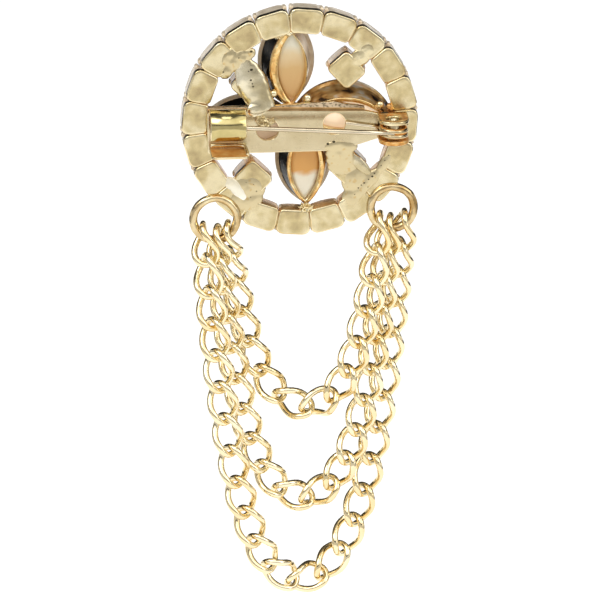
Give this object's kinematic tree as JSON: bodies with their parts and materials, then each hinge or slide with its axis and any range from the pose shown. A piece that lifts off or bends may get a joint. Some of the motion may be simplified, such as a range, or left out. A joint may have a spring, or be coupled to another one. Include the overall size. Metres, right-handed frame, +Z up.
{
  "type": "tassel brooch",
  "caption": "Round crystal-set brooch with a flower of boat-shaped stones, a hinged pin with a rolled catch on its back, and three swags of curb chain hung from two rings.",
  "frame": {"origin": "on the wreath's axis, on the line of the pin, where the brooch is pinned on", "axes": "+Z up as it hangs, +Y out of the crystal side, -Y towards the cloth it is pinned to"},
  "size_m": [0.032, 0.0119, 0.083],
  "materials": {
    "gold_plate": "gold-plated, light",
    "pin_wire": "gold-plated wire",
    "chain_gold": "bright gold-plated",
    "crystal": "cut, foiled behind"
  },
  "bodies": {
    "brooch": {"setting_frame": "gold_plate", "pivot_rivet": "gold_plate", "spring_leg": "pin_wire", "rim_stone_01": "crystal", "rim_stone_02": "crystal", "rim_stone_03": "crystal", "rim_stone_04": "crystal", "rim_stone_05": "crystal", "rim_stone_06": "crystal", "rim_stone_07": "crystal", "rim_stone_08": "crystal", "rim_stone_09": "crystal", "rim_stone_10": "crystal", "rim_stone_11": "crystal", "rim_stone_12": "crystal", "rim_stone_13": "crystal", "rim_stone_14": "crystal", "rim_stone_15": "crystal", "rim_stone_16": "crystal", "rim_stone_17": "crystal", "rim_stone_18": "crystal", "rim_stone_19": "crystal", "rim_stone_20": "crystal", "petal_stone_top": "crystal", "petal_stone_right": "crystal", "petal_stone_bottom": "crystal", "petal_stone_left": "crystal", "corner_stone_1": "crystal", "corner_stone_2": "crystal", "corner_stone_3": "crystal", "corner_stone_4": "crystal", "chain_outer": "chain_gold", "chain_middle": "chain_gold", "chain_inner": "chain_gold"},
    "pin": {"pin_stem": "pin_wire"}
  },
  "joints": [
    {"name": "pin_swing", "type": "hinge", "parent": "brooch", "child": "pin", "pos_m": [0.0124, 0.0005, 0], "axis": [0, 0, 1], "range_deg": [0, 100]}
  ]
}
